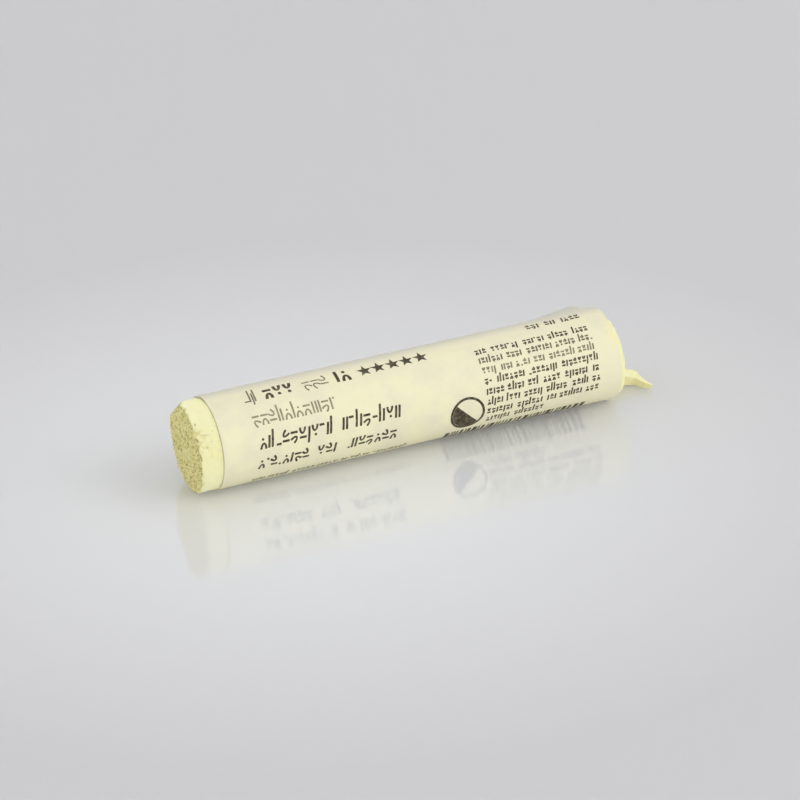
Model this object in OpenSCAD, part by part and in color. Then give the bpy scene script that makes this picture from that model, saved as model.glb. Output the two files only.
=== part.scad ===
// Soft pastel stick, lying on its side: a pressed round rod of pigment in a wound paper sleeve.
// Millimetres. X runs along the stick with the worn end at -X, and Z is up. The origin is on the
// flat that the sleeve rests on, halfway along the sleeve. Angles round the rod start at the
// front, -Y, and pass over the top, so 90 is the top and 180 the back.

/* [Rod] */
// Diameter of the pigment rod
rod_d = 11.7; // [8:0.1:16]
// Width of the flat that the rod dried on, which keeps it from rolling
flat_w = 2.2; // [1:0.1:4]
// Length of rod that stands out of the sleeve at the worn end
worn_bare = 2.9; // [1.5:0.1:12]
// Length of rod that stands out of the sleeve at the broken end, on the rod's axis
broken_bare = 0.3; // [0:0.1:8]

/* [Ends] */
// Lean of the worn face, which stands forward at its upper front
worn_lean = 3; // [0:0.5:12]
// Lean of the broken face, which stands forward at its front
broken_lean = 3; // [0:0.5:12]
// Reach of the ragged lip that a break left standing at the foot of the broken face
lip_reach = 5.9; // [3:0.1:9]
// Width of the ragged lip
lip_w = 7.1; // [3:0.1:9]
// Height of the lip's upper side above the rod's flat, at the lip's root
lip_root_h = 2.2; // [1:0.1:4]
// The same at its tip
lip_tip_h = 0.8; // [0.6:0.1:1]

/* [Sleeve] */
// Length of the paper along the rod
sleeve_len = 55; // [35:0.5:75]
// Thickness of the paper
paper_t = 0.1; // [0.08:0.01:0.2]
// Thickness of the glue between the rod and the paper, and between the two layers of the lap
glue_t = 0.04; // [0.03:0.01:0.1]
// Width of the lap, measured round the sleeve
lap_w = 3.8; // [2:0.1:8]
// Angle round the rod at which the paper's inner edge is stuck down
inner_edge = 92; // [60:1:130]

/* [Loose edge] */
// Width of the outer layer that has come unstuck, measured back from its free edge
loose_w = 3.1; // [1:0.1:6]
// Length of the stretch, at the broken end, over which the free edge stands off more and more
peel_len = 7.5; // [4:0.5:25]
// Distance from the sleeve's end to where the free edge stands off most
peel_peak = 2; // [1:0.1:4]
// How far the loose strip has straightened at its peak: 0 follows the rod, 1 is flat
peel_full = 0.95; // [0.2:0.05:1]
// How far it has straightened along the rest of the sleeve
peel_rest = 0.12; // [0:0.02:0.4]
// How far it has straightened at the sleeve's end
peel_corner = 0.05; // [0:0.05:0.6]

/* [Hidden] */

rod_r = rod_d / 2;
sleeve_r = rod_r + glue_t + paper_t;
// Height of the rod's axis, so that the sleeve's flat lies at z = 0
axis_z = sqrt(sleeve_r * sleeve_r - flat_w * flat_w / 4);
// Height of the rod's own flat above the sleeve's
rod_flat_z = glue_t + paper_t;
worn_x = -sleeve_len / 2 - worn_bare;
broken_x = sleeve_len / 2 + broken_bare;
// The two ends: [x on the rod's axis, side that faces out, lean of the face, angle it leans towards]
worn_end = [worn_x, -1, worn_lean, 45];
broken_end = [broken_x, 1, broken_lean, -10];
// Margin by which a cut runs past what it cuts
past = 5;
blank_len = broken_x - worn_x + lip_reach + 2 * past;

// Bevels broken off the worn rim: [angle round the rod, depth on the face, reach along the rod]
worn_bevels = [[128, 0.85, 1.1], [84, 0.12, 0.5], [30, 0.14, 0.45], [-14, 0.1, 0.3],
               [-52, 0.22, 0.5], [255, 0.12, 0.35]];
// Crumbs lost from the worn rim: [angle round the rod, radius of the bite]
worn_bites = [[41, 0.45], [12, 0.3], [-38, 0.36], [70, 0.26], [-72, 0.42], [176, 0.4], [236, 0.22]];
// The same for the rim of the broken face
broken_bevels = [[96, 0.6, 0.45], [-54, 0.35, 0.5], [160, 0.5, 0.3]];
broken_bites = [[60, 0.3], [24, 0.25], [-18, 0.3], [134, 0.4], [200, 0.45]];

// The lip's outline from above, as shares of its reach and width
lip_outline = [[-0.15, -0.07], [0.25, 0.02], [0.5, 0.14], [0.76, 0.02], [0.86, -0.22], [0.96, -0.34],
               [1, -0.27], [0.96, -0.08], [0.95, 0.12], [1, 0.3], [0.96, 0.42], [0.73, 0.5],
               [0.38, 0.45], [-0.15, 0.58]];

// The rod before its ends are broken, as long as the stick with its lip
module rod_blank() {
    difference() {
        translate([worn_x - past, 0, axis_z])
            rotate([0, 90, 0])
                cylinder(r = rod_r, h = blank_len, $fn = 96);
        translate([worn_x - 2 * past, -rod_r, rod_flat_z - rod_r])
            cube([blank_len + 2 * past, rod_d, rod_r]);
    }
}

// Everything past the face of an end
module beyond_face(end) {
    depth = 3 * rod_d;
    translate([end[0], 0, axis_z])
        rotate([-end[3], 0, 0])
            rotate([0, 0, end[1] * end[2]])
                translate([end[1] * depth / 2, 0, 0])
                    cube([depth, 2 * depth, 2 * depth], center = true);
}

// Carries its child to the rim of an end, at an angle round the rod. There -Y points out of the rod.
module at_rim(end, angle) {
    rim_x = end[0] + end[1] * rod_r * tan(end[2]) * cos(angle - end[3]);
    translate([rim_x, 0, axis_z])
        rotate([-angle, 0, 0])
            translate([0, -rod_r, 0])
                children();
}

// What a bevel takes off a rim: a block whose face cuts the rim slantwise
module rim_bevel(end, bevel) {
    depth = bevel[1];
    reach = bevel[2];
    at_rim(end, bevel[0])
        translate([0, depth, 0])
            rotate([0, 0, end[1] * atan2(depth, reach)])
                translate([0, -rod_d, 0])
                    cube([4 * rod_d, 2 * rod_d, 4 * rod_d], center = true);
}

// What a lost crumb takes off a rim
module rim_bite(end, bite) {
    at_rim(end, bite[0])
        translate([end[1] * 0.1 * bite[1], -0.35 * bite[1], 0])
            sphere(r = bite[1], $fn = 24);
}

// The shard of the rod's underside that still stands out of the broken face
module ragged_lip() {
    slope = atan2(lip_root_h - lip_tip_h, lip_reach);
    intersection() {
        rod_blank();
        translate([broken_x, 0, 0])
            linear_extrude(axis_z)
                polygon([for (p = lip_outline) [p[0] * lip_reach, p[1] * lip_w]]);
        translate([broken_x, 0, rod_flat_z + lip_root_h])
            rotate([0, slope, 0])
                translate([-rod_d, -rod_d, -rod_d])
                    cube([lip_reach + 2 * rod_d, 2 * rod_d, rod_d]);
    }
}

module pastel_stick() {
    color("#F0EDB8") union() {
        difference() {
            rod_blank();
            beyond_face(worn_end);
            beyond_face(broken_end);
            for (bevel = worn_bevels) rim_bevel(worn_end, bevel);
            for (bite = worn_bites) rim_bite(worn_end, bite);
            for (bevel = broken_bevels) rim_bevel(broken_end, bevel);
            for (bite = broken_bites) rim_bite(broken_end, bite);
        }
        ragged_lip();
    }
}

// The sleeve's section follows the paper from its inner edge, once round the rod and over itself.
lap_deg = lap_w / sleeve_r * 180 / PI;
loose_deg = min(loose_w, lap_w) / sleeve_r * 180 / PI;
wound_deg = 360 + lap_deg;
// Angle over which the paper climbs onto its own inner edge
climb_deg = 14;
// Angles wound through where the paper meets and leaves the flat at the bottom
flat_half_deg = asin(flat_w / 2 / sleeve_r);
flat_from = 270 - inner_edge - flat_half_deg;
flat_to = 270 - inner_edge + flat_half_deg;

function spread(from, to, step) =
    let (count = ceil((to - from) / step))
    [for (i = [0:count]) from + (to - from) * i / count];

// The angles wound through at the section's points
turns = concat(spread(0, flat_from, 7), spread(flat_to, wound_deg, 7));
strips = len(turns) - 1;

function smooth(t) = let (u = min(1, max(0, t))) u * u * (3 - 2 * u);

// How far the loose strip has straightened at x
function peel(x) =
    let (peak_x = sleeve_len / 2 - peel_peak)
    x < peak_x
        ? peel_rest + (peel_full - peel_rest) * smooth((x - peak_x + peel_len) / peel_len)
        : peel_full + (peel_corner - peel_full) * smooth((x - peak_x) / peel_peak);

// Distance of the paper's inner side from the rod's axis after it has wound through turn degrees
function wound_r(turn, x) =
    let (stuck = rod_r + glue_t + (paper_t + glue_t) * smooth((turn - 360 + climb_deg) / climb_deg),
         loose = max(0, turn - wound_deg + loose_deg))
    stuck * (1 + peel(x) * (1 / cos(loose) - 1));

// A point of the section, layer mm outside the paper's inner side, pressed level along the flat
function section_point(turn, x, layer) =
    let (angle = inner_edge + turn,
         r = wound_r(turn, x) + layer,
         floor_z = paper_t - layer - axis_z)
    [x, -r * cos(angle), max(floor_z, r * sin(angle)) + axis_z];

function section(x) = concat(
    [for (turn = turns) section_point(turn, x, paper_t)],
    [for (i = [strips:-1:0]) section_point(turns[i], x, 0)]);

peel_steps = 9;
stations = concat(
    [-sleeve_len / 2],
    [for (i = [0:peel_steps]) sleeve_len / 2 - peel_peak - peel_len * (1 - i / peel_steps)],
    [sleeve_len / 2 - peel_peak / 2, sleeve_len / 2]);

// The paper, lofted through its sections at the stations
module wrapper() {
    rings = [for (x = stations) section(x)];
    count = len(rings[0]);
    last = (len(rings) - 1) * count;
    // Every face has three corners, so that the loft holds where the paper twists
    walls = [for (s = [0:len(rings) - 2], i = [0:count - 1])
        let (j = (i + 1) % count, a = s * count, b = a + count)
        each [[a + i, b + j, b + i], [a + i, a + j, b + j]]];
    // The two ends are strips from the paper's outer side to its inner side
    ends = [for (i = [0:strips - 1])
        let (p = i, q = i + 1, inner_p = count - 1 - i, inner_q = count - 2 - i)
        each [[p, inner_p, q], [q, inner_p, inner_q],
              [last + p, last + q, last + inner_p], [last + q, last + inner_q, last + inner_p]]];
    color("#EEE8C6")
        polyhedron(points = [for (ring = rings, p = ring) p], faces = concat(walls, ends));
}

pastel_stick();
wrapper();
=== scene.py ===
"""Soft pastel stick: a pressed rod of pigment in a printed paper sleeve, on a pale glossy table.

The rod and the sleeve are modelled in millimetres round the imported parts, and each finished mesh is
brought to the frame's metres. X runs along the stick and Z is up. Angles round the rod start at the
front, -Y, and pass over the top. On the flat label, s is the distance round the sleeve from its front.
"""

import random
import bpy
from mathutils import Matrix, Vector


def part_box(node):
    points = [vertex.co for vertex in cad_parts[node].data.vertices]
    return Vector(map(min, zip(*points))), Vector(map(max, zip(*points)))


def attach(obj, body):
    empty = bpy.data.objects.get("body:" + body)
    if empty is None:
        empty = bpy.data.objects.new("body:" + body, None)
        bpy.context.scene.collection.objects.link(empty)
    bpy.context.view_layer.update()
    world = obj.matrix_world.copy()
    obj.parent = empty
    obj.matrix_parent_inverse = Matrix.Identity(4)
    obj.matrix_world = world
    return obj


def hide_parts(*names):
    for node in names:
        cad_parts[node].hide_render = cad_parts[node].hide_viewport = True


bl_info = {
    "name": "Soft Pastel Stick",
    "version": (1, 0, 0),
    "blender": (4, 5, 0),
    "location": "View3D > Sidebar > Pastel",
    "description": "Models the looks of a soft pastel stick round its packed parts",
    "category": "Object",
}

from math import cos, pi, radians, sin

import bpy
import numpy as np
from bpy.props import FloatProperty, FloatVectorProperty, PointerProperty
from mathutils import Matrix, Vector, noise

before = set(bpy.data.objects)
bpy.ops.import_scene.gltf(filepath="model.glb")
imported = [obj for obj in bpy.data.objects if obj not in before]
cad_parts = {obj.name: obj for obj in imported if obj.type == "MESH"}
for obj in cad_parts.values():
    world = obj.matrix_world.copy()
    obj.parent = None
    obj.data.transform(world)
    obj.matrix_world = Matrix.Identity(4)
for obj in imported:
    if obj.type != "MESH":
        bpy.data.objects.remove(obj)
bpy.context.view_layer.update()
ROD_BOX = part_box("pastel_stick")
SLEEVE_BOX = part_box("wrapper")

# A millimetre in the frame's metres
MM = 0.001
# Points nearer than this, in millimetres, are one point
WELD = 1e-4

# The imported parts' own sizes, in millimetres
ROD_R = (ROD_BOX[1].y - ROD_BOX[0].y) / 2 / MM
AXIS_Z = ROD_BOX[1].z / MM - ROD_R
SLEEVE_HALF = SLEEVE_BOX[1].x / MM
SLEEVE_R = -SLEEVE_BOX[0].y / MM


def linear(hex_colour):
    """A colour written in sRGB hex, as the four linear numbers that a node takes."""
    shares = [int(hex_colour[i : i + 2], 16) / 255 for i in (1, 3, 5)]
    return tuple(c / 12.92 if c <= 0.04045 else ((c + 0.055) / 1.055) ** 2.4 for c in shares) + (1.0,)


def length(name, description, millimetres, least, most):
    """A length that the sidebar shows in the scene's units."""
    return FloatProperty(
        name=name,
        description=description,
        default=millimetres * MM,
        min=least * MM,
        max=most * MM,
        precision=5,
        unit="LENGTH",
    )


def share(name, description, default, most=1.0):
    """A share or a plain strength."""
    return FloatProperty(name=name, description=description, default=default, min=0, max=most)


def colour(name, description, hex_colour):
    """A surface colour."""
    return FloatVectorProperty(
        name=name,
        description=description,
        default=linear(hex_colour),
        size=4,
        min=0,
        max=1,
        subtype="COLOR",
    )


def power(name, description, watts):
    """The power of a lamp."""
    return FloatProperty(name=name, description=description, default=watts, min=0, unit="POWER")


class RodSettings(bpy.types.PropertyGroup):
    """Relief and colours of the pigment rod"""

    facet: length("Facet", "Side of the small facets that the rod's ends are made of", 0.08, 0.05, 0.3)
    worn_depth: length("Worn Relief", "Depth of the grain on the worn face", 0.14, 0, 0.4)
    broken_depth: length("Broken Relief", "Depth of the relief on the broken face", 0.24, 0, 0.6)
    skin_depth: length("Skin Relief", "Depth of the unevenness of the pressed side", 0.025, 0, 0.1)
    skin: colour("Skin", "The smooth side that the press left", "#F8F6D0")
    inside: colour("Inside", "Grains laid open by wear or by a break", "#F6F0B2")
    # The pore colour is painted shade for the floors of pits, dents, pores and the paper's cut
    pore_shade: colour("Pore", "The floor of a pit", "#AB9E50")


class SleeveSettings(bpy.types.PropertyGroup):
    """Sizes and colours of the paper sleeve"""

    paper: length("Paper", "Thickness of the paper", 0.1, 0.05, 0.2)
    lap: length("Lap", "Width of the paper that lies on its own inner edge", 3.8, 2, 8)
    inner_edge: FloatProperty(
        name="Inner Edge",
        description="Angle round the rod at which the paper's inner edge is stuck down",
        default=radians(92),
        min=radians(60),
        max=radians(130),
        subtype="ANGLE",
    )
    loose: length("Loose Width", "Width of the outer layer that has come unstuck", 3.1, 1, 6)
    peel_length: length("Peel Length", "Stretch over which the free edge lifts", 7.5, 4, 25)
    peel_peak: length("Peel Peak", "Distance from the sleeve's end to the highest lift", 2, 1, 4)
    peel_full: share("Peel", "How far the loose strip has straightened at its peak", 0.95)
    peel_rest: share("Rest of Peel", "How far it has straightened elsewhere", 0.12)
    peel_corner: share("Corner Peel", "How far it has straightened at the sleeve's end", 0.05)
    ripple: length("Ripple", "Height of the paper's unevenness", 0.045, 0, 0.06)
    backed: colour("Backed Paper", "Thin paper with the yellow rod showing through", "#F3EEC9")
    veiled: colour("Veiled Paper", "Doubled or loose paper, which hides the rod's yellow", "#E0DBC7")
    free: colour("Free Paper", "Paper that stands off with nothing behind it", "#D2D5C4")


class PrintSettings(bpy.types.PropertyGroup):
    """The printed label"""

    film: length("Film", "Thickness of the printed marks", 0.006, 0.002, 0.02)
    ink: colour("Ink", "Dark brown offset ink", "#3C331E")
    faint: colour("Faint Ink", "The same ink where little was laid down", "#C9C3A4")


class StageSettings(bpy.types.PropertyGroup):
    """Table, light and camera"""

    # The table's colour round the stick and farther out: their blend is a painted pool of light
    table: colour("Table", "Pale paint under the glass, round the stick", "#F0F2F4")
    table_edge: colour("Table Edge", "The same paint farther out", "#CFCED1")
    key: power("Key", "Power of the soft key lamp", 9.2)
    fill: power("Fill", "Power of the low front lamp", 0.4)
    sky: share("Sky", "Strength of the even light from all round", 0.72, 2)
    lens: FloatProperty(
        name="Lens", description="Focal length of the camera", default=220.1, min=20, unit="CAMERA"
    )


# ---------- Small helpers ----------


def linked(name, mesh):
    """A new object of the scene with this mesh."""
    made = bpy.data.objects.new(name, mesh)
    bpy.context.scene.collection.objects.link(made)
    return made


def activate(piece):
    """Selects one object alone and makes it the active one."""
    bpy.ops.object.select_all(action="DESELECT")
    piece.select_set(True)
    bpy.context.view_layer.objects.active = piece


def edit_all(piece):
    """Opens a piece in edit mode with all of it selected."""
    activate(piece)
    bpy.ops.object.mode_set(mode="EDIT")
    bpy.ops.mesh.select_all(action="SELECT")


def close_edit():
    """Leaves edit mode."""
    bpy.ops.object.mode_set(mode="OBJECT")


def apply_modifier(piece, kind, **settings):
    """Adds a modifier with these settings and applies it."""
    activate(piece)
    bpy.ops.object.modifier_add(type=kind)
    modifier = piece.modifiers[-1]
    for name, value in settings.items():
        setattr(modifier, name, value)
    bpy.ops.object.modifier_apply(modifier=modifier.name)


def vectors(items, name):
    """One vector of each item, as the rows of an array."""
    flat = np.zeros(len(items) * 3, np.float32)
    items.foreach_get(name, flat)
    return flat.reshape(-1, 3).astype(float)


def points_of(piece):
    """The places of the piece's vertices."""
    return vectors(piece.data.vertices, "co")


def normals_of(piece):
    """The normals at the piece's vertices."""
    return vectors(piece.data.vertex_normals, "vector")


def place(piece, points):
    """Moves the piece's vertices to these points."""
    piece.data.vertices.foreach_set("co", points.astype(np.float32).ravel())
    piece.data.update()


def store(piece, name, values):
    """Keeps one number for each vertex, for the piece's material."""
    attribute = piece.data.attributes.get(name) or piece.data.attributes.new(name, "FLOAT", "POINT")
    attribute.data.foreach_set("value", np.asarray(values, np.float32))


def smooth(t):
    """Eases from 0 to 1 as t goes from 0 to 1."""
    t = np.clip(t, 0, 1)
    return t * t * (3 - 2 * t)


def finish_piece(piece, material, node=None):
    """Brings a piece from millimetres to its place in the frame, with its material."""
    piece.data.transform(Matrix.Scale(MM, 4))
    piece.data.materials.clear()
    piece.data.materials.append(material)
    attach(piece, "root")
    if node:
        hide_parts(node)


# ---------- Materials ----------

# Places of a Mix node's colour inputs and colour output
MIX_A, MIX_B, MIX_OUT = 6, 7, 2


def add_node(tree, kind, inputs=None, **settings):
    """Adds a shader node. An input takes a value, or another node's output socket."""
    made = tree.nodes.new("ShaderNode" + kind)
    for name, value in settings.items():
        setattr(made, name, value)
    for key, value in (inputs or {}).items():
        if isinstance(value, bpy.types.NodeSocket):
            tree.links.new(value, made.inputs[key])
        else:
            made.inputs[key].default_value = value
    return made


def new_material(name):
    """An empty node material and its tree."""
    material = bpy.data.materials.new(name)
    material.use_nodes = True
    material.node_tree.nodes.clear()
    return material, material.node_tree


def per_mm(size):
    """The scale at which a pattern on metre coordinates repeats every size millimetres."""
    return 1 / (size * MM)


def chalky_pastel(settings):
    """Pressed chalk and pigment: powdery, with no shine, and deeper in colour where it is broken."""
    material, tree = new_material("chalky_lemon_pastel")
    position = add_node(tree, "TexCoord").outputs["Object"]
    # The second attribute is painted shade in the pits, the dents and the paper's cut
    worn, painted_recess_shade = (
        add_node(tree, "Attribute", attribute_name=name).outputs["Fac"]
        for name in ("worn", "painted_recess_shade")
    )

    # Pigment is never quite even: clouds of a deeper yellow 4 mm across, and grains of 0.45 mm
    clouds = add_node(
        tree, "TexNoise", {"Vector": position, "Scale": per_mm(4), "Detail": 3, "Roughness": 0.6}
    ).outputs["Fac"]
    grains = add_node(
        tree, "TexNoise", {"Vector": position, "Scale": per_mm(0.45), "Detail": 5, "Roughness": 0.8}
    ).outputs["Fac"]
    cloud_share = add_node(
        tree, "MapRange", {"Value": clouds, "From Min": 0.38, "From Max": 0.68, "To Max": 0.5}
    ).outputs["Result"]
    worn_share = add_node(tree, "Math", {0: worn, 1: cloud_share}, operation="MAXIMUM").outputs["Value"]
    body = add_node(
        tree,
        "Mix",
        {"Factor": worn_share, MIX_A: settings.skin, MIX_B: settings.inside},
        data_type="RGBA",
    ).outputs[MIX_OUT]

    # Painted shade: dark floors of the pits and, where the grain lies open, of the finest pores
    pores = add_node(
        tree, "MapRange", {"Value": grains, "From Min": 0.5, "From Max": 0.38, "To Max": 0.9}
    ).outputs["Result"]
    open_pores = add_node(tree, "Math", {0: pores, 1: worn}, operation="MULTIPLY").outputs["Value"]
    dark = add_node(tree, "Math", {0: open_pores, 1: painted_recess_shade}, operation="MAXIMUM").outputs["Value"]
    shaded = add_node(
        tree, "Mix", {"Factor": dark, MIX_A: body, MIX_B: settings.pore_shade}, data_type="RGBA"
    ).outputs[MIX_OUT]

    # Grit that the finger feels
    grit = add_node(
        tree, "TexNoise", {"Vector": position, "Scale": per_mm(0.12), "Detail": 3}
    ).outputs["Fac"]
    height = add_node(tree, "Math", {0: grains, 1: grit}, operation="ADD").outputs["Value"]
    bump = add_node(
        tree, "Bump", {"Height": height, "Strength": 0.6, "Distance": 0.03 * MM}
    ).outputs["Normal"]
    shader = add_node(
        tree,
        "BsdfPrincipled",
        {
            "Base Color": shaded,
            "Roughness": 0.95,
            "Diffuse Roughness": 1.0,
            "IOR": 1.5,
            "Specular IOR Level": 0.15,
            "Normal": bump,
        },
    )
    add_node(tree, "OutputMaterial", {"Surface": shader.outputs["BSDF"]})
    return material


def satin_paper(settings, dust):
    """Thin calendered label paper: a soft sheen, faint fibres, and the rod's yellow shows through."""
    material, tree = new_material("satin_label_paper")
    coordinates = add_node(tree, "TexCoord").outputs
    veiled, free, dusty = (
        add_node(tree, "Attribute", attribute_name=name).outputs["Fac"]
        for name in ("veiled", "free", "dusty")
    )

    # How closely the paper lies on the rod varies, which mottles the yellow that shows through
    mottle = add_node(
        tree,
        "TexNoise",
        {"Vector": coordinates["Object"], "Scale": per_mm(3.2), "Detail": 4, "Roughness": 0.6},
    ).outputs["Fac"]
    mottle_share = add_node(
        tree, "MapRange", {"Value": mottle, "From Min": 0.38, "From Max": 0.66, "To Max": 0.45}
    ).outputs["Result"]
    veil = add_node(tree, "Math", {0: veiled, 1: mottle_share}, operation="MAXIMUM").outputs["Value"]
    body = add_node(
        tree,
        "Mix",
        {"Factor": veil, MIX_A: settings.backed, MIX_B: settings.veiled},
        data_type="RGBA",
    ).outputs[MIX_OUT]
    sheet = add_node(
        tree, "Mix", {"Factor": free, MIX_A: body, MIX_B: settings.free}, data_type="RGBA"
    ).outputs[MIX_OUT]

    # Pigment dust clings to the paper beside the break
    specks = add_node(
        tree, "TexNoise", {"Vector": coordinates["Object"], "Scale": per_mm(0.5), "Detail": 4}
    ).outputs["Fac"]
    speck_share = add_node(
        tree, "MapRange", {"Value": specks, "From Min": 0.38, "From Max": 0.6}
    ).outputs["Result"]
    clinging = add_node(tree, "Math", {0: dusty, 1: speck_share}, operation="MULTIPLY").outputs["Value"]
    dusted = add_node(
        tree, "Mix", {"Factor": clinging, MIX_A: sheet, MIX_B: dust}, data_type="RGBA"
    ).outputs[MIX_OUT]

    # Fibres lie along the sleeve, on a UV map that runs once along it and once round it
    fibre_length, fibre_gap = 2, 0.2
    scale = (2 * SLEEVE_HALF / fibre_length, 2 * pi * SLEEVE_R / fibre_gap, 1)
    along = add_node(tree, "Mapping", {"Vector": coordinates["UV"], "Scale": scale}).outputs["Vector"]
    fibres = add_node(tree, "TexNoise", {"Vector": along, "Scale": 1.0, "Detail": 3}).outputs["Fac"]
    bump = add_node(
        tree, "Bump", {"Height": fibres, "Strength": 0.35, "Distance": 0.012 * MM}
    ).outputs["Normal"]
    rough = add_node(
        tree,
        "MapRange",
        {"Value": mottle, "From Min": 0.3, "From Max": 0.7, "To Min": 0.42, "To Max": 0.58},
    ).outputs["Result"]
    shader = add_node(
        tree,
        "BsdfPrincipled",
        {
            "Base Color": dusted,
            "Roughness": rough,
            "IOR": 1.47,
            "Specular IOR Level": 0.4,
            "Normal": bump,
        },
    )
    add_node(tree, "OutputMaterial", {"Surface": shader.outputs["BSDF"]})
    return material


def offset_ink(settings):
    """Dark brown offset ink: thin, and slightly mottled where the paper took less of it."""
    material, tree = new_material("brown_offset_ink")
    position = add_node(tree, "TexCoord").outputs["Object"]
    inked = add_node(tree, "Attribute", attribute_name="inked").outputs["Fac"]
    mottle = add_node(
        tree, "TexNoise", {"Vector": position, "Scale": per_mm(0.5), "Detail": 3}
    ).outputs["Fac"]
    loss = add_node(
        tree, "MapRange", {"Value": mottle, "From Min": 0.42, "From Max": 0.75, "To Max": 0.25}
    ).outputs["Result"]
    laid = add_node(
        tree, "Math", {0: inked, 1: loss}, operation="SUBTRACT", use_clamp=True
    ).outputs["Value"]
    tone = add_node(
        tree, "Mix", {"Factor": laid, MIX_A: settings.faint, MIX_B: settings.ink}, data_type="RGBA"
    ).outputs[MIX_OUT]
    shader = add_node(
        tree,
        "BsdfPrincipled",
        {"Base Color": tone, "Roughness": 0.5, "IOR": 1.5, "Specular IOR Level": 0.4},
    )
    add_node(tree, "OutputMaterial", {"Surface": shader.outputs["BSDF"]})
    return material


def back_painted_glass(settings):
    """Glass painted pale grey behind, with a pool of light painted round the stick, and smooth enough
    to mirror what stands on it.
    """
    material, tree = new_material("pale_back_painted_glass")
    position = add_node(tree, "TexCoord").outputs["Object"]
    smears = add_node(
        tree, "TexNoise", {"Vector": position, "Scale": per_mm(30), "Detail": 3}
    ).outputs["Fac"]
    rough = add_node(
        tree,
        "MapRange",
        {"Value": smears, "From Min": 0.3, "From Max": 0.7, "To Min": 0.08, "To Max": 0.12},
    ).outputs["Result"]
    # A painted pool of light: the paint is palest round the stick and a few shades darker farther out
    centred = add_node(
        tree,
        "Mapping",
        {"Vector": position, "Location": PAINTED_LIGHT_AT, "Scale": (PAINTED_LIGHT_REACH,) * 3},
        vector_type="TEXTURE",
    ).outputs["Vector"]
    painted_light_pool = add_node(tree, "TexGradient", {"Vector": centred}, gradient_type="SPHERICAL").outputs["Fac"]
    paint = add_node(
        tree,
        "Mix",
        {"Factor": painted_light_pool, MIX_A: settings.table_edge, MIX_B: settings.table},
        data_type="RGBA",
    ).outputs[MIX_OUT]
    # The stick gets the light of a white table back. The camera, and all that shines, see the paint.
    path = add_node(tree, "LightPath").outputs
    shining = add_node(
        tree, "Math", {0: path["Is Glossy Ray"], 1: path["Is Transmission Ray"]}, operation="ADD"
    ).outputs["Value"]
    looking = add_node(
        tree, "Math", {0: path["Is Camera Ray"], 1: shining}, operation="ADD", use_clamp=True
    ).outputs["Value"]
    seen = add_node(
        tree, "Mix", {"Factor": looking, MIX_A: (1.0, 1.0, 1.0, 1.0), MIX_B: paint}, data_type="RGBA"
    ).outputs[MIX_OUT]
    # The front and the painted back both mirror, as one surface of a higher index would. Light
    # spreads sideways between the two, which softens the shadow under the stick.
    shader = add_node(
        tree,
        "BsdfPrincipled",
        {
            "Base Color": seen,
            "Roughness": rough,
            "IOR": 2.3,
            "Subsurface Weight": 1.0,
            "Subsurface Radius": (1.0, 1.0, 1.0),
            "Subsurface Scale": LIGHT_SPREAD,
        },
        subsurface_method="BURLEY",
    )
    add_node(tree, "OutputMaterial", {"Surface": shader.outputs["BSDF"]})
    return material


# ---------- The pigment rod ----------

# Where the modelled ends stop under the paper and the plain rod between them starts, and how much
# farther they run until their relief is made
END_X = SLEEVE_HALF - 0.8
SPARE = 0.4
# The plain rod under the paper is this much slimmer, so that the paper's ripples clear it, and a
# step this long leads in to it
HIDDEN_EASE, STEP_IN = 0.98, 0.1
# Where the shard starts, and the width of the broken rim
SHARD_X, RIM_WIDE = 28.1, 0.9
# Shares of the relief and of the open grain's colour that the shard and the broken rim do without
SHARD_CALM, RIM_CALM = 0.85, 0.92
SHARD_PALE, RIM_PALE = 0.9, 0.7
# Rounds of smoothing that blunt the broken rim, and the shard's share of them
SOFTENING, SHARD_SOFT = 40, 0.35
# Marks of the paper's edge on the skin beside it: how far past the edge and how wide each way, then
# the ridge's height and wear, and the cut's depth and the darkness of the shade painted into it
RIDGE = (0.28, 0.2, 0.06, 0.5)
CUT = (0.05, 0.16, 0.05, 0.28)
# Layers of relief, in the order that they are sunk: a pattern, the size of its grain, its share of
# the surface's depth, the vertex group that it is sunk into, and the pattern's settings
GRAIN = [
    ("CLOUDS", 1.7, 1, "open", {"noise_depth": 1, "contrast": 1.4}),
    ("CLOUDS", 0.4, 1, "open", {"noise_depth": 2, "contrast": 1.6}),
]
PITS = [
    ("VORONOI", 0.95, 1.6, "pitted", {"contrast": 2.6, "intensity": 1.6}),
    ("VORONOI", 0.5, 1.3, "open", {"contrast": 2.4, "intensity": 1.7}),
]
SKIN = [
    ("CLOUDS", 1.1, 1, "skin", {"noise_depth": 2}),
    ("VORONOI", 1.3, 1.5, "skin", {"contrast": 3.5, "intensity": 1.7}),
]
FLAKES = [
    ("CLOUDS", 0.35, 0.6, "flaking", {"noise_depth": 2, "contrast": 2}),
    ("VORONOI", 0.55, 0.6, "flaking", {"contrast": 2, "intensity": 1.5}),
]
# Depth from which painted shade darkens a pit's floor, as a share of the relief's, and how dark it gets
PIT_DEEP, PIT_SHADE = 0.2, 0.85
# Stretches of the worn rim whose skin is flaking: two places, each its x, its angle and its distance
# from the axis, the reach round the line between them, and how much of the open grain shows
FLAKING = [
    ((-30.3, 40, 5.85), (-29.6, 14, 5.85), 1.3, 0.7),
    ((-30.4, -20, 5.85), (-30.3, -66, 5.85), 1.0, 1.0),
]
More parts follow.
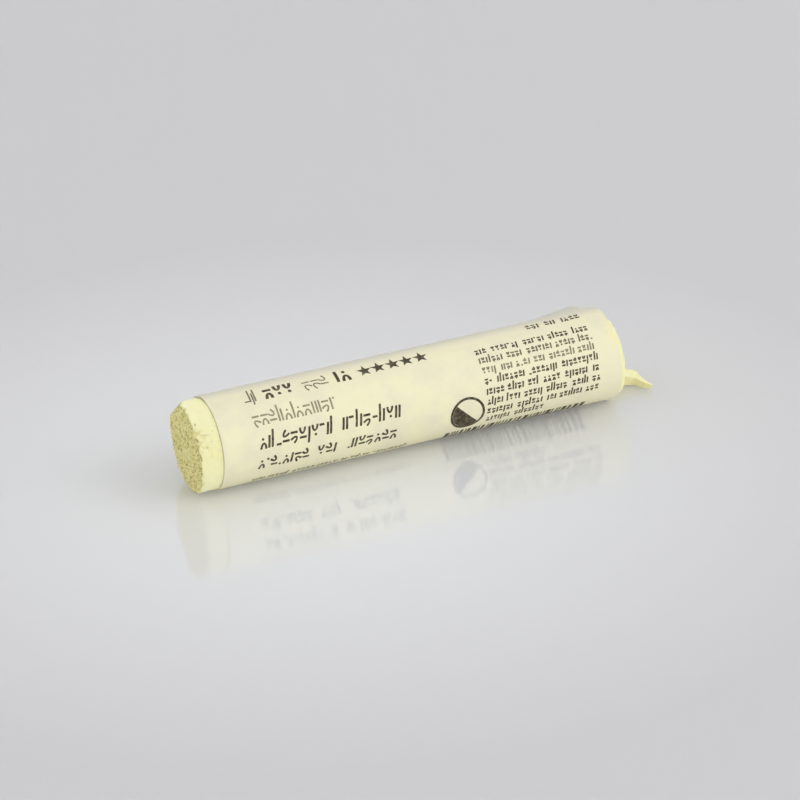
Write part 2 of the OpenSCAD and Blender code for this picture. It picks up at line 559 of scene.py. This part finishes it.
# Dents of each end: the places where one starts and stops, then its half width, its depth and how
# dark the shade painted on its floor is
DENTS = {
    -1: [
        ((-30.6, 22, 5.65), (-30.45, 7, 5.8), 0.13, 0.3, 1.0),
        ((-30.55, 34, 5.7), (-30.5, 31, 5.8), 0.16, 0.2, 0.9),
        ((-30.4, 84, 5.85), (-30.3, 82, 5.85), 0.14, 0.12, 0.5),
        ((-30.2, 54, 5.85), (-30.2, 52, 5.85), 0.14, 0.15, 0.7),
        ((-30.4, 40, 5.85), (-28.9, 36, 5.85), 0.08, 0.08, 0.25),
        ((-29.6, 37, 5.85), (-29.3, 36.5, 5.85), 0.09, 0.1, 0.5),
        ((-30.0, 23, 5.85), (-29.9, 22, 5.85), 0.12, 0.1, 0.45),
        ((-28.8, 28.5, 5.85), (-28.7, 28, 5.85), 0.1, 0.06, 0.35),
        ((-28.3, 41, 5.85), (-28.3, 40, 5.85), 0.1, 0.06, 0.35),
        ((-30.6, -24, 4.6), (-30.6, -20, 4.8), 0.22, 0.25, 0.9),
        ((-30.6, -8, 5.5), (-30.6, -3, 5.7), 0.22, 0.25, 0.9),
        ((-30.6, -42, 5.4), (-30.6, -47, 5.4), 0.2, 0.2, 0.8),
    ],
    1: [((28.4, -58, 5.7), (28.5, -56, 5.5), 0.22, 0.2, 0.8)],
}


def rod_end(side, facet):
    """The worn end, side -1, or the broken end, side 1, as a closed mesh of small even facets."""
    end = linked("rod_end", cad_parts["pastel_stick"].data.copy())
    end.data.transform(Matrix.Scale(1 / MM, 4))
    edit_all(end)
    bpy.ops.mesh.remove_doubles(threshold=WELD)
    bpy.ops.mesh.bisect(
        plane_co=(side * (END_X - SPARE), 0, 0), plane_no=(side, 0, 0), use_fill=True, clear_inner=True
    )
    close_edit()
    apply_modifier(end, "REMESH", mode="VOXEL", voxel_size=facet, use_smooth_shade=True)
    return end


def radial(points):
    """Distance of each point from the rod's axis, and the direction out from the axis."""
    out = points[:, 1:] - np.array([0, AXIS_Z])
    reach = np.hypot(out[:, 0], out[:, 1])
    return reach, out / np.maximum(reach, 1e-6)[:, None]


def laid_open(end):
    """1 where wear or a break has laid the grain open, and 0 on the pressed skin."""
    points, normals = points_of(end), normals_of(end)
    reach, out = radial(points)
    facing = (normals[:, 1:] * out).sum(1)
    # The skin faces out at the rod's full size, or down on the flat that the rod dried on
    skin = smooth((facing - 0.6) / 0.3) * smooth((reach - ROD_R + 0.12) / 0.08)
    on_flat = (points[:, 2] < ROD_BOX[0].z / MM + 0.06) & (normals[:, 2] < -0.8)
    return 1 - np.where(on_flat, 1, skin)


def roughen(piece, layers, depth):
    """Sinks layers of relief into a piece whose surface has this depth, in mm."""
    for pattern, size, deep, group, settings in layers:
        texture = bpy.data.textures.new("relief", pattern)
        texture.noise_scale = size
        for name, value in settings.items():
            setattr(texture, name, value)
        apply_modifier(
            piece,
            "DISPLACE",
            texture=texture,
            texture_coords="LOCAL",
            strength=deep * depth,
            mid_level=1.0,
            vertex_group=group,
        )


def weigh(piece, name, weights):
    """Makes a vertex group with these weights."""
    group = piece.vertex_groups.new(name=name)
    for index in np.nonzero(weights > 0.01)[0]:
        group.add([int(index)], float(weights[index]), "REPLACE")


def patchy(points, size, seed):
    """A smooth chance pattern from 0 to 1 whose patches are size millimetres across."""
    waves = [noise.noise(Vector(point) / size + Vector((seed, 0, 0))) for point in points]
    return np.clip(0.5 + 0.9 * np.array(waves), 0, 1)


def at_angle(x, angle, reach):
    """The point at x, at an angle round the rod in degrees, at this distance from the axis."""
    turn = radians(angle)
    return np.array([x, -reach * cos(turn), AXIS_Z + reach * sin(turn)])


def near_line(points, from_place, to_place, reach):
    """1 along the line between two places of the rod, falling to 0 at this reach from it."""
    start, end = at_angle(*from_place), at_angle(*to_place)
    run = end - start
    along = np.clip((points - start) @ run / (run @ run), 0, 1)
    gap = np.linalg.norm(points - start - along[:, None] * run, axis=1)
    return smooth(1.15 * (1 - gap / reach))


def keep_inside(points):
    """Draws points back into the rod's own round, its flat and its length."""
    reach, out = radial(points)
    points[:, 1:] -= out * np.maximum(reach - ROD_R, 0)[:, None]
    points[:, 0] = np.clip(points[:, 0], ROD_BOX[0].x / MM, ROD_BOX[1].x / MM)
    points[:, 2] = np.maximum(points[:, 2], ROD_BOX[0].z / MM)
    return points


def edge_mark(points, mark):
    """Share of a mark that the paper's edge left on the worn end's skin."""
    past_paper = -SLEEVE_HALF - points[:, 0]
    return smooth(1 - abs(past_paper - mark[0]) / mark[1])


def give_relief(end, side, settings):
    """Wears one end: grain and pits in the open pigment, and a faint unevenness on its skin."""
    open_share = laid_open(end)
    before = points_of(end)
    # The break left its rim and its shard soft
    shard = smooth((before[:, 0] - SHARD_X) / 0.6)
    rim = smooth((radial(before)[0] - ROD_R + RIM_WIDE) / 0.6) * (side > 0)
    weigh(end, "soft", np.maximum(SHARD_SOFT * shard, rim * (1 - shard)))
    apply_modifier(end, "SMOOTH", factor=0.5, iterations=SOFTENING, vertex_group="soft")
    before, normals = points_of(end), normals_of(end)
    # Nothing moves where the end meets the plain rod, and the thin shard and the broken rim hardly do
    shown = smooth((side * before[:, 0] - END_X - 0.2) / 0.5)
    shown = shown * (1 - np.maximum(SHARD_CALM * shard, RIM_CALM * rim))
    deep = open_share * shown
    skin = (1 - open_share) * shown
    flaking = [shows * near_line(before, start, stop, reach) for start, stop, reach, shows in FLAKING]
    flaking = np.maximum.reduce(flaking) * patchy(before, 0.7, 5)
    weigh(end, "open", deep)
    weigh(end, "pitted", deep * patchy(before, 1.2, 3))
    weigh(end, "skin", skin)
    weigh(end, "flaking", skin * flaking)
    depth = (settings.worn_depth if side < 0 else settings.broken_depth) / MM
    roughen(end, GRAIN, depth)
    grained = points_of(end)
    roughen(end, PITS, depth)
    pitted = points_of(end)
    roughen(end, SKIN, settings.skin_depth / MM)
    roughen(end, FLAKES, depth)

    # Painted shade darkens the floors of pits and dents
    painted_recess_shade = PIT_SHADE * smooth(((grained - pitted) * normals).sum(1) / depth - PIT_DEEP)
    after = points_of(end)
    for start, stop, half_width, sink, tone in DENTS[side]:
        within = near_line(before, start, stop, half_width)
        after -= normals * (within * sink)[:, None]
        painted_recess_shade = np.maximum(painted_recess_shade, tone * within)

    # Nothing may stand out of the surface that the relief was sunk into
    sunk = ((before - after) * normals).sum(1)
    after = keep_inside(after + normals * np.minimum(sunk, 0)[:, None])
    # The paper's edge cut into the rod and pressed a fine ridge of crumbs up beside it. Shade is
    # painted into the cut.
    cut = edge_mark(before, CUT) * (1 - open_share)
    ridge = edge_mark(before, RIDGE) * (1 - open_share) * patchy(before, 0.6, 11)
    place(end, after + normals * (RIDGE[2] * ridge - CUT[2] * cut)[:, None])
    grainy = 1 - np.maximum(SHARD_PALE * shard, RIM_PALE * rim)
    store(end, "worn", np.maximum.reduce([open_share * grainy, RIDGE[3] * ridge, flaking]))
    # Painted shade in the pits, the dents and the paper's cut, kept for the material
    store(end, "painted_recess_shade", np.maximum(painted_recess_shade, CUT[3] * cut))


def select_open_edges():
    """In edit mode, selects the edges round a mesh's openings."""
    bpy.ops.mesh.select_mode(type="EDGE")
    bpy.ops.mesh.select_all(action="DESELECT")
    bpy.ops.mesh.select_non_manifold()


def trim_end(end, side):
    """Cuts an end open under the paper and steps its edge in to the plain rod's size."""
    edit_all(end)
    bpy.ops.mesh.bisect(plane_co=(side * END_X, 0, 0), plane_no=(side, 0, 0), clear_inner=True)
    select_open_edges()
    bpy.ops.mesh.extrude_region_move(TRANSFORM_OT_translate={"value": (-STEP_IN * side, 0, 0)})
    bpy.ops.transform.resize(
        value=(1, HIDDEN_EASE, HIDDEN_EASE), center_override=(side * END_X, 0, AXIS_Z)
    )
    bpy.ops.mesh.select_mode(type="VERT")
    close_edit()


class PASTEL_OT_add_rod(bpy.types.Operator):
    """Adds the pigment rod, with its worn face, its broken face and the shard left on it"""

    bl_idname = "pastel.add_rod"
    bl_label = "Add Pigment Rod"

    def execute(self, context):
        settings = context.scene.pastel_rod
        ends = {side: rod_end(side, settings.facet / MM) for side in (-1, 1)}
        for side, end in ends.items():
            give_relief(end, side, settings)
            trim_end(end, side)
        rod = ends[-1]
        activate(rod)
        ends[1].select_set(True)
        bpy.ops.object.join()
        rod.name = rod.data.name = "pigment_rod"

        # The plain rod between the ends is bridged from one edge to the other
        edit_all(rod)
        select_open_edges()
        bpy.ops.mesh.bridge_edge_loops()
        bpy.ops.mesh.select_mode(type="VERT")
        bpy.ops.mesh.select_all(action="SELECT")
        bpy.ops.mesh.normals_make_consistent(inside=False)
        close_edit()
        rod.vertex_groups.clear()
        rod.data.shade_smooth()
        finish_piece(rod, chalky_pastel(settings), "pastel_stick")
        return {"FINISHED"}


# ---------- The paper sleeve ----------

# Angle, in degrees, over which the paper climbs onto its own inner edge
CLIMB = 14
# Steps of the sheet along the sleeve and round it
SHEET_STEPS = (240, 150)
# Room left outside the paper for the printed film
PRINT_ROOM = 0.014
# Turns between which the doubled paper comes to hide the rod's yellow. It hides a share of it beside
# its worn end too, and over a longer stretch past its middle.
VEIL_TURNS = (340, 376)
EDGE_VEIL, EDGE_REACH = 0.4, 0.8
LOOSE_VEIL, LOOSE_REACH = 0.2, 20
# Lift at which the paper has nothing behind it
FREE_LIFT = 0.5
# Where the break's dust starts along the sleeve, the turns between which it lies, and those over
# which it thickens and thins out
DUST_X, DUST_TURNS, DUST_FADES = 25.6, (290, 345), (25, 20)


class Winding:
    """Winds a flat label round the rod. Lengths are in millimetres and turns in degrees."""

    def __init__(self, sleeve):
        self.paper = sleeve.paper / MM
        self.inner_edge = sleeve.inner_edge * 180 / pi
        self.outer_r = SLEEVE_R - PRINT_ROOM
        self.glue = self.outer_r - self.paper - ROD_R
        self.loose = sleeve.loose / MM / SLEEVE_R * 180 / pi
        self.whole = 360 + sleeve.lap / MM / SLEEVE_R * 180 / pi
        self.sleeve = sleeve

    def turn_at(self, s):
        """Turn of the outer layer at s millimetres above the sleeve's front line."""
        return 360 - self.inner_edge + s / SLEEVE_R * 180 / pi

    def peel(self, x):
        """How far the loose strip has straightened at x."""
        sleeve = self.sleeve
        peak_x = SLEEVE_HALF - sleeve.peel_peak / MM
        rise = smooth((x - peak_x) / (sleeve.peel_length / MM) + 1)
        fall = smooth((x - peak_x) / (sleeve.peel_peak / MM))
        before = sleeve.peel_rest + (sleeve.peel_full - sleeve.peel_rest) * rise
        after = sleeve.peel_full + (sleeve.peel_corner - sleeve.peel_full) * fall
        return np.where(x < peak_x, before, after)

    def lift(self, x, turn):
        """How far the loose strip stands off the layer under it."""
        angle = np.radians(np.maximum(0, turn - self.whole + self.loose))
        return self.outer_r * self.peel(x) * (1 / np.cos(angle) - 1)

    def uneven(self, x, turn):
        """How far the paper lies inside its true round, in waves 7 by 4 mm and 2.4 by 1.8 mm across."""
        round_mm = turn * pi / 180 * SLEEVE_R
        waves = [
            0.5
            + 0.7 * noise.noise(Vector((a / 7, b / 4, 0)))
            + 0.35 * noise.noise(Vector((a / 2.4, b / 1.8, 9)))
            for a, b in zip(x, round_mm)
        ]
        return self.sleeve.ripple / MM * np.clip(waves, 0, 1)

    def wind(self, x, turn, above):
        """Points wound round the rod, above millimetres outside the paper's outer side."""
        climb = (self.paper + self.glue) * smooth((turn - 360 + CLIMB) / CLIMB)
        reach = self.outer_r + climb + self.lift(x, turn) - self.uneven(x, turn) + above
        angle = np.radians(self.inner_edge + turn)
        up = np.maximum(reach * np.sin(angle), -AXIS_Z - above)
        return np.column_stack([x, -reach * np.cos(angle), up + AXIS_Z])


class PASTEL_OT_add_sleeve(bpy.types.Operator):
    """Adds the paper sleeve: a flat sheet wound round the rod and over its own edge"""

    bl_idname = "pastel.add_sleeve"
    bl_label = "Add Paper Sleeve"

    def execute(self, context):
        settings = context.scene.pastel_sleeve
        winding = Winding(settings)
        bpy.ops.mesh.primitive_grid_add(
            x_subdivisions=SHEET_STEPS[0], y_subdivisions=SHEET_STEPS[1], size=1, location=(0, 0, 0)
        )
        sheet = context.active_object
        sheet.name = sheet.data.name = "paper_sleeve"
        flat = points_of(sheet)
        x = flat[:, 0] * 2 * SLEEVE_HALF
        turn = (flat[:, 1] + 0.5) * winding.whole
        place(sheet, winding.wind(x, turn, 0))
        doubled = smooth((turn - VEIL_TURNS[0]) / (VEIL_TURNS[1] - VEIL_TURNS[0]))
        at_edge = EDGE_VEIL * smooth(1 - (SLEEVE_HALF + x) / EDGE_REACH)
        loosened = LOOSE_VEIL * smooth(x / LOOSE_REACH)
        store(sheet, "veiled", np.maximum.reduce([doubled, at_edge, loosened]))
        store(sheet, "free", smooth(winding.lift(x, turn) / FREE_LIFT))
        beside_break = smooth((x - DUST_X) / (SLEEVE_HALF - DUST_X))
        thick = smooth((turn - DUST_TURNS[0]) / DUST_FADES[0])
        thin = smooth((DUST_TURNS[1] - turn) / DUST_FADES[1])
        store(sheet, "dusty", thick * thin * beside_break)
        apply_modifier(sheet, "SOLIDIFY", thickness=winding.paper, offset=-1, use_even_offset=True)
        bpy.ops.object.shade_smooth_by_angle(angle=radians(40))
        paper = satin_paper(settings, context.scene.pastel_rod.inside)
        finish_piece(sheet, paper, "wrapper")
        return {"FINISHED"}


# ---------- The printed label ----------

# Sides of the pieces that the marks are cut into before they are wound
CUT_ROUND, CUT_ALONG = 0.3, 0.6
# Gap that keeps the film of ink apart from the paper
FILM_GAP = 0.005
# Seed of the marks' random draws
SEED = 23
UP = Vector((0, 1, 0))

# Rows of marks: start, end, foot, height of the low marks, stroke, slant and ink, in millimetres on
# the flat label, and then the least and most length of a group of marks
ROWS = [
    (-22.9, -21.0, 6.95, 1.6, 0.2, 0.1, 0.85, 1.9, 1.9),
    (-20.1, -15.7, 6.9, 1.95, 0.42, 0.1, 1.0, 4.4, 4.4),
    (-14.8, -11.3, 6.95, 1.7, 0.2, 0.1, 0.8, 3.5, 3.5),
    (-10.3, -8.1, 7.0, 2.1, 0.42, 0.05, 1.0, 2.1, 2.1),
    (-22.9, -11.6, 3.5, 1.6, 0.25, 0.0, 0.55, 11.3, 11.3),
    (-22.6, -12.6, 0.5, 1.6, 0.3, 0.16, 1.0, 10, 10),
    (-11.4, -3.4, 0.6, 1.6, 0.3, 0.16, 1.0, 8, 8),
    (-22.9, -16.0, -2.4, 1.5, 0.29, 0.16, 1.0, 6.9, 6.9),
    (-14.9, -12.1, -2.4, 1.5, 0.29, 0.16, 1.0, 2.8, 2.8),
    (-10.8, -4.0, -2.35, 1.5, 0.29, 0.16, 1.0, 6.8, 6.8),
    (-23.3, -2.0, -5.4, 0.8, 0.19, 0.16, 0.8, 2.5, 7.5),
    (16.8, 24.5, 8.8, 1.0, 0.24, 0.16, 1.0, 1.6, 2.6),
]
# The paragraph: start, end, foot of its first row, pitch, height of the low marks, stroke and slant
PARAGRAPH = (8.5, 24.4, 6.35, 1.38, 0.8, 0.22, 0.12)
# Ink of each of its rows, and how far the last one runs
PARAGRAPH_INKS = [1.0, 0.85, 0.68, 0.95, 1.0, 1.0, 1.0, 0.95]
LAST_ROW_END = 16.6
# Least and most length of a group of the paragraph's marks
PARAGRAPH_GROUPS = (1.2, 4.2)
# The stars' middles and radius
STARS = [(-6.3, 8.0), (-4.4, 8.05), (-2.4, 8.1), (-0.5, 8.15), (1.5, 8.2)]
STAR_R = 1.02
# The badge's middle and radius, and its half disc's share of that
BADGE = (5.75, -1.25, 2.4, 0.85)
# The strip of bars: its two ends, foot and top, and then the widths of its bars and of their gaps
BARS = (3.2, 23.0, -7.9, -4.3)
BAR_WIDTHS, BAR_GAPS = (0.2, 0.2, 0.4, 0.6), (0.18, 0.28, 0.4)
# Gap between groups, as a share of the height of the row's low marks
GROUP_GAP = 0.6
# Width of a stroke as it is modelled, 1 high
STROKE_WIDE = 0.16
# Width of a half-height mark, height of a tall stroke and drop of a hanging one, as shares of the
# height of a row's low marks
MARK_WIDE, TALL, HANGING = 0.6, 1.42, 0.32
# Width of a lone dash as a share of a half-height mark's, and of a dot as a share of the stroke's
DASH_WIDE, DOT_WIDE = 0.7, 1.15
# Heights of a pair's two halves, and those at which a lone dash or dot may stand
PAIR_RISES = (0.77, 0.24)
LONE_RISES = (0.1, 0.5, 0.9)
# Least and most gap between marks, as shares of the row's stroke
MARK_GAPS = (0.5, 0.85)
# How often each mark comes up in a row
CHANCES = {"low": 19, "tall": 12, "hanging": 5, "pair": 58, "dash": 3, "dot": 3}
# What a pair is made of, above and below: an arc turned by so many eighths, a dash or a dot
PAIRS = [(4, "dash"), ("dash", 0), (3, "dash"), ("dash", 7)]
PAIRS += [(5, "dash"), ("dash", 1), (4, "dot"), ("dot", 0)]


def select_points(test):
    """In edit mode, selects the vertices whose place passes a test, and nothing else."""
    bpy.ops.mesh.select_all(action="DESELECT")
    close_edit()
    for vertex in bpy.context.active_object.data.vertices:
        vertex.select = test(vertex.co)
    bpy.ops.object.mode_set(mode="EDIT")


def add_stroke():
    """An upright stroke with its corners rounded."""
    bpy.ops.mesh.primitive_plane_add(size=1)
    bpy.ops.transform.resize(value=(STROKE_WIDE, 1, 1))
    bpy.ops.mesh.bevel(offset=0.04, segments=2, affect="VERTICES")


def add_bar():
    """A plain bar, 1 by 1."""
    bpy.ops.mesh.primitive_plane_add(size=1)


def add_dot():
    """A round dot, 1 across."""
    bpy.ops.mesh.primitive_circle_add(vertices=12, radius=0.5, fill_type="TRIFAN")


def add_ring(reach_x=1.0, reach_y=1.0, wall_x=0.14, wall_y=0.14, vertices=48):
    """A round or oval ring, from its reach and the width of its wall along x and along y."""
    bpy.ops.mesh.primitive_circle_add(vertices=vertices, radius=1, fill_type="NOTHING")
    bpy.ops.transform.resize(value=(reach_x, reach_y, 1))
    bpy.ops.mesh.extrude_edges_move()
    bpy.ops.transform.resize(value=(1 - wall_x / reach_x, 1 - wall_y / reach_y, 1))
    bpy.ops.mesh.select_all(action="SELECT")


def add_arc(weight):
    """The upper half of a ring, 1 by 1 in all. Weight is the share of that which its wall takes."""
    add_ring(0.5, 1, weight, weight, 24)
    bpy.ops.mesh.bisect(plane_co=(0, 0.02, 0), plane_no=(0, 1, 0), clear_inner=True)
    bpy.ops.mesh.select_all(action="SELECT")
    bpy.ops.transform.translate(value=(0, -0.5, 0))


def add_half_disc():
    """The half of a disc 1 in radius that lies below a slanting line."""
    bpy.ops.mesh.primitive_circle_add(vertices=48, radius=1, fill_type="TRIFAN")
    bpy.ops.mesh.bisect(plane_co=(0, 0, 0), plane_no=(-1, -1, 0), clear_inner=True)


def add_star():
    """A five-pointed star 1 in radius: every other corner of a ten-sided disc is drawn in."""
    bpy.ops.mesh.primitive_circle_add(vertices=10, radius=1, fill_type="TRIFAN")
    select_points(lambda point: point.length > 0.5 and abs(point.angle(UP) * 5 / pi % 2 - 1) < 0.5)
    bpy.ops.transform.resize(value=(0.42, 0.42, 1))


def modelled(make, *sizes):
    """The mesh of one mark, made at the origin in edit mode."""
    mark = linked(make.__name__, bpy.data.meshes.new(make.__name__))
    edit_all(mark)
    make(*sizes)
    close_edit()
    mesh = mark.data
    bpy.data.objects.remove(mark)
    return mesh


class FlatLabel:
    """Collects copies of the marks on the flat label."""

    def __init__(self):
        self.marks = {}
        self.copies = []
        self.chance = random.Random(SEED)

    def stamp(self, mark, x, s, wide, high, ink=1.0, slant=0.0, turned=0.0):
        """Prints a mark, which is a maker and its sizes, stretched, turned and slanted at (x, s)."""
        if mark not in self.marks:
            self.marks[mark] = modelled(*mark)
        copy = linked("mark", self.marks[mark].copy())
        shear = Matrix(((1, slant, 0, x), (0, 1, 0, s), (0, 0, 1, 0), (0, 0, 0, 1)))
        stretch = Matrix.Diagonal((wide, high, 1, 1))
        copy.data.transform(shear @ Matrix.Rotation(turned, 4, "Z") @ stretch)
        store(copy, "inked", [ink] * len(copy.data.vertices))
        self.copies.append(copy)

    def half_mark(self, kind, x, s, wide, stroke, slant, ink):
        """Prints a half-height mark: an arc turned by so many eighths, a dash or a dot."""
        if kind == "dash":
            self.stamp((add_stroke,), x, s, stroke / STROKE_WIDE, wide, ink, 0, pi / 2)
        elif kind == "dot":
            self.stamp((add_dot,), x, s, DOT_WIDE * stroke, DOT_WIDE * stroke, ink)
        else:
            arc = (add_arc, round(stroke / wide, 2))
            self.stamp(arc, x, s, wide, wide * 0.9, ink, slant, kind * pi / 4)

    def group(self, start, end, foot, high, stroke, slant, ink):
        """Fills a stretch with strokes, arcs, dashes and dots, each standing clear of the next."""
        x = start
        kinds, odds = zip(*CHANCES.items())
        while x < end - stroke:
            kind = self.chance.choices(kinds, odds)[0]
            wide = MARK_WIDE * high
            if kind in ("pair", "dash") and end - x < wide:
                kind = "low"
            if kind == "pair":
                for half, rise in zip(self.chance.choice(PAIRS), PAIR_RISES):
                    self.half_mark(half, x + wide / 2, foot + rise * high, wide, stroke, slant, ink)
            elif kind in ("dash", "dot"):
                wide = DASH_WIDE * wide if kind == "dash" else DOT_WIDE * stroke
                rise = foot + high * self.chance.choice(LONE_RISES)
                self.half_mark(kind, x + wide / 2, rise, wide, stroke, slant, ink)
            else:
                wide = stroke
                low = foot - (HANGING * high if kind == "hanging" else 0)
                top = foot + high * (TALL if kind == "tall" else 1)
                middle = (x + wide / 2, (low + top) / 2)
                self.stamp((add_stroke,), *middle, stroke / STROKE_WIDE, top - low, ink, slant)
            x += wide + stroke * self.chance.uniform(*MARK_GAPS)

    def row(self, start, end, foot, high, stroke, slant, ink, least, most):
        """Splits a row into groups of marks that fill it from end to end."""
        gap = GROUP_GAP * high
        x = start
        while x < end - stroke:
            stop = x + self.chance.uniform(least, most)
            if stop > end - 0.5 * least - gap:
                stop = end
            self.group(x, stop, foot, high, stroke, slant, ink)
            x = stop + gap

    def bars(self, start, end, foot, top):
        """Bars of uneven width that run round the stick."""
        x = start
        while x < end - BAR_WIDTHS[0]:
            wide = self.chance.choice(BAR_WIDTHS)
            self.stamp((add_bar,), x + wide / 2, (foot + top) / 2, wide, top - foot)
            x += wide + self.chance.choice(BAR_GAPS)

    def joined(self):
        """All that was printed, as one flat object."""
        activate(self.copies[0])
        for copy in self.copies:
            copy.select_set(True)
        bpy.ops.object.join()
        return bpy.context.active_object


def cut_small(label):
    """Cuts the flat label into pieces small enough to wind round the stick."""
    least, most = points_of(label).min(0), points_of(label).max(0)
    edit_all(label)
    for axis, step in ((0, CUT_ALONG), (1, CUT_ROUND)):
        normal = np.eye(3)[axis]
        for at in np.arange(least[axis] + step, most[axis], step):
            bpy.ops.mesh.select_all(action="SELECT")
            bpy.ops.mesh.bisect(plane_co=at * normal, plane_no=normal)
    close_edit()


class PASTEL_OT_add_print(bpy.types.Operator):
    """Adds the label's print: rows of strokes, five stars, a half-filled disc and a strip of bars"""

    bl_idname = "pastel.add_print"
    bl_label = "Add Label Print"

    def execute(self, context):
        settings = context.scene.pastel_print
        winding = Winding(context.scene.pastel_sleeve)
        label = FlatLabel()
        for row in ROWS:
            label.row(*row)
        start, end, foot, pitch, high, stroke, slant = PARAGRAPH
        for index, ink in enumerate(PARAGRAPH_INKS):
            stop = LAST_ROW_END if index == len(PARAGRAPH_INKS) - 1 else end
            label.row(start, stop, foot - pitch * index, high, stroke, slant, ink, *PARAGRAPH_GROUPS)
        for x, s in STARS:
            label.stamp((add_star,), x, s, STAR_R, STAR_R)
        x, s, reach, filled = BADGE
        label.stamp((add_ring,), x, s, reach, reach)
        label.stamp((add_half_disc,), x, s, filled * reach, filled * reach)
        label.bars(*BARS)

        marks = label.joined()
        marks.name = marks.data.name = "label_print"
        cut_small(marks)
        flat = points_of(marks)
        film = settings.film / MM
        place(marks, winding.wind(flat[:, 0], winding.turn_at(flat[:, 1]), film + FILM_GAP))
        apply_modifier(marks, "SOLIDIFY", thickness=film, offset=-1)
        finish_piece(marks, offset_ink(settings))
        return {"FINISHED"}


# ---------- Table, light and camera ----------

# The camera's direction, roll and distance, and the point that it looks at
CAMERA_AZIMUTH = radians(22.85)
CAMERA_ELEVATION = radians(25.19)
CAMERA_ROLL = radians(-2.67)
CAMERA_DISTANCE = 620.9 * MM
CAMERA_AIM = Vector((-1.1, -0.2, 5.9)) * MM
# Side of the table, in metres
TABLE_SIZE = 8.0
# Middle and reach of the pool of light painted on the table
PAINTED_LIGHT_AT = Vector((-15, -4, 0)) * MM
PAINTED_LIGHT_REACH = 76 * MM
# How far light spreads sideways in the table
LIGHT_SPREAD = 20 * MM
# The soft key lamp, high at the camera's right, and a low one that fills in from the front: the way
# each looks, its distance and its size, in metres
KEY = (radians(-45), radians(36), 1.6, 0.9)
FILL = (radians(8), radians(4), 0.7, 0.5)


def direction(azimuth, elevation):
    """The way a camera or lamp looks: azimuth 0 is along +Y, and elevation tips it down."""
    return Vector((sin(azimuth) * cos(elevation), cos(azimuth) * cos(elevation), -sin(elevation)))


def aim(thing, azimuth, elevation, roll=0.0):
    """Turns an object so that it looks along that direction."""
    turn = (
        Matrix.Rotation(-azimuth, 4, "Z")
        @ Matrix.Rotation(pi / 2 - elevation, 4, "X")
        @ Matrix.Rotation(roll, 4, "Z")
    )
    thing.rotation_euler = turn.to_euler()


class PASTEL_OT_set_stage(bpy.types.Operator):
    """Sets the table, the soft light and the camera"""

    bl_idname = "pastel.set_stage"
    bl_label = "Set Stage"

    def execute(self, context):
        settings = context.scene.pastel_stage
        bpy.ops.mesh.primitive_plane_add(size=TABLE_SIZE, location=(0, 0, 0))
        table = context.active_object
        table.name = "table"
        table.data.materials.append(back_painted_glass(settings))

        view = direction(CAMERA_AZIMUTH, CAMERA_ELEVATION)
        bpy.ops.object.camera_add(location=CAMERA_AIM - view * CAMERA_DISTANCE)
        camera = context.active_object
        camera.data.lens = settings.lens
        camera.data.sensor_width = 36
        aim(camera, CAMERA_AZIMUTH, CAMERA_ELEVATION, CAMERA_ROLL)
        context.scene.camera = camera

        for watts, (azimuth, elevation, distance, size) in ((settings.key, KEY), (settings.fill, FILL)):
            bpy.ops.object.light_add(type="AREA", location=-direction(azimuth, elevation) * distance)
            lamp = context.active_object
            lamp.data.energy = watts
            lamp.data.size = size
            # Its mirror image would burn out a patch of the glossy table
            lamp.visible_glossy = False
            aim(lamp, azimuth, elevation)

        world = bpy.data.worlds.new("even_sky")
        world.use_nodes = True
        sky = world.node_tree.nodes["Background"]
        sky.inputs["Color"].default_value = (1.0, 1.0, 1.0, 1.0)
        sky.inputs["Strength"].default_value = settings.sky
        context.scene.world = world
        context.scene.view_settings.view_transform = "Standard"
        return {"FINISHED"}


class PASTEL_PT_panel(bpy.types.Panel):
    """Lists the steps that build the stick"""

    bl_idname = "PASTEL_PT_panel"
    bl_label = "Soft Pastel Stick"
    bl_space_type = "VIEW_3D"
    bl_region_type = "UI"
    bl_category = "Pastel"

    def draw(self, context):
        for operator, settings in STEPS:
            box = self.layout.box()
            box.operator(operator.bl_idname)
            group = getattr(context.scene, settings)
            for name in group.bl_rna.properties.keys():
                if name not in {"rna_type", "name"}:
                    box.prop(group, name)


STEPS = [
    (PASTEL_OT_set_stage, "pastel_stage"),
    (PASTEL_OT_add_rod, "pastel_rod"),
    (PASTEL_OT_add_sleeve, "pastel_sleeve"),
    (PASTEL_OT_add_print, "pastel_print"),
]
GROUPS = {
    "pastel_rod": RodSettings,
    "pastel_sleeve": SleeveSettings,
    "pastel_print": PrintSettings,
    "pastel_stage": StageSettings,
}
CLASSES = [*GROUPS.values(), *(operator for operator, _ in STEPS), PASTEL_PT_panel]


def register():
    for cls in CLASSES:
        bpy.utils.register_class(cls)
    for name, group in GROUPS.items():
        setattr(bpy.types.Scene, name, PointerProperty(type=group))


def unregister():
    for name in GROUPS:
        delattr(bpy.types.Scene, name)
    for cls in reversed(CLASSES):
        bpy.utils.unregister_class(cls)


def main():
    register()
    bpy.ops.pastel.set_stage()
    bpy.ops.pastel.add_rod()
    bpy.ops.pastel.add_sleeve()
    bpy.ops.pastel.add_print()


if __name__ == "__main__":
    main()
